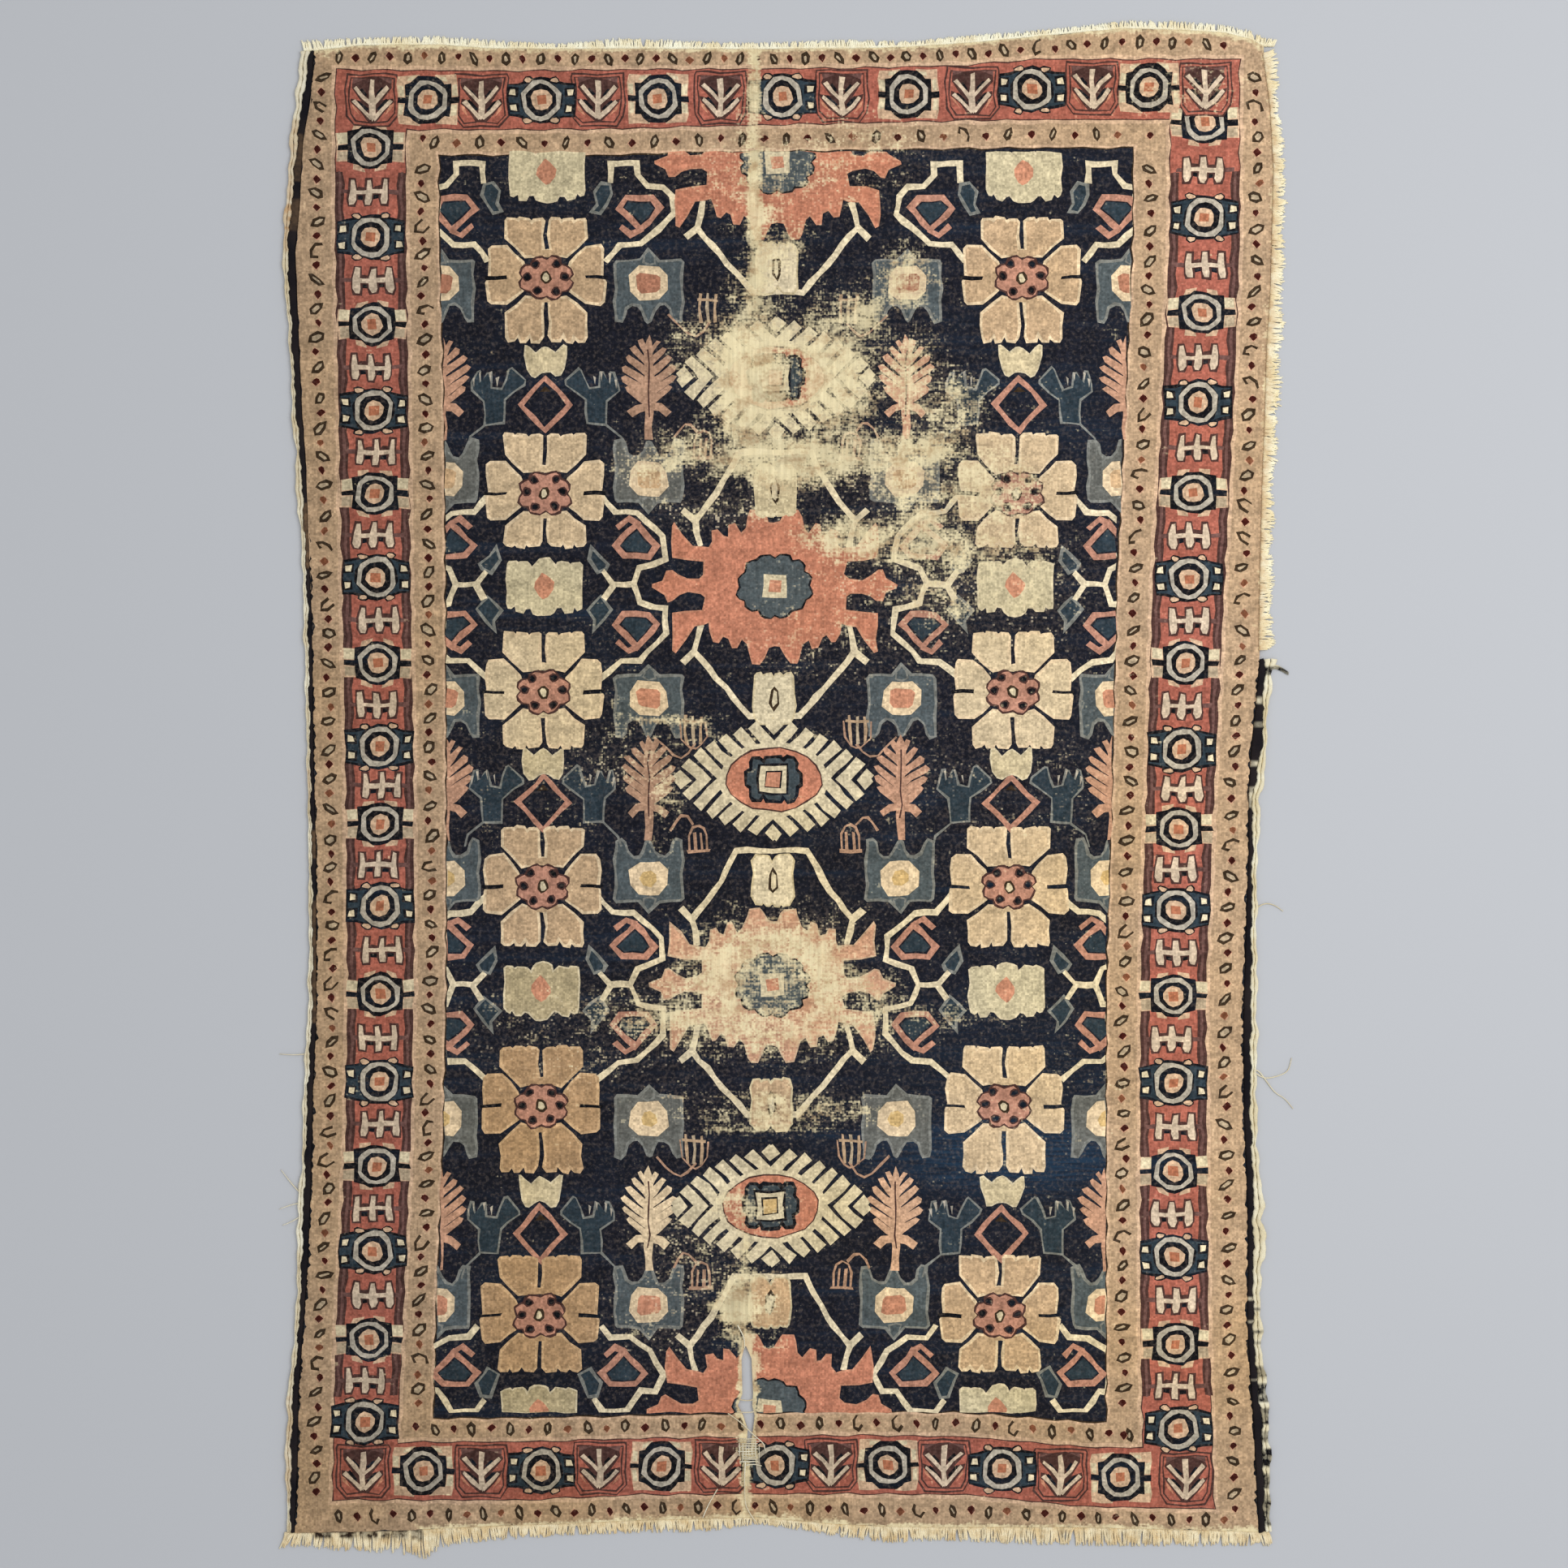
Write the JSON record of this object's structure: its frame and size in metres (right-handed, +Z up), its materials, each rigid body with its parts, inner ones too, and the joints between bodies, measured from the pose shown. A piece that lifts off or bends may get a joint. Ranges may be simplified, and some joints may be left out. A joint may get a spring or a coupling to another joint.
{
  "type": "hand-knotted persian rug",
  "caption": "Worn flat wool rug with an uneven, waisted outline, dark overcast sides, bare selvedge cords, short ragged end fringes and a tear near one end.",
  "frame": {"origin": "on the floor, under the middle of the rug's whole outline with its fringes", "axes": "+Z up out of the pile, +Y towards the end away from the tear, +X towards the side with frayed wefts"},
  "size_m": [1.3148, 1.985, 0.0064],
  "materials": {
    "pile": "worn knotted wool pile, matt, navy field with tan, coral and teal motifs",
    "binding": "black wool overcasting, matt",
    "cord": "bare cream cotton yarn, matt",
    "fringe": "ragged cream cotton warp ends, matt"
  },
  "bodies": {
    "root": {"rug_body": "pile", "side_binding_left": "binding", "side_binding_right": "binding", "selvedge_cord_left": "cord", "selvedge_cord_right": "cord", "frayed_weft_right": "fringe", "fringe_top": "fringe", "fringe_bottom": "fringe"}
  },
  "joints": []
}
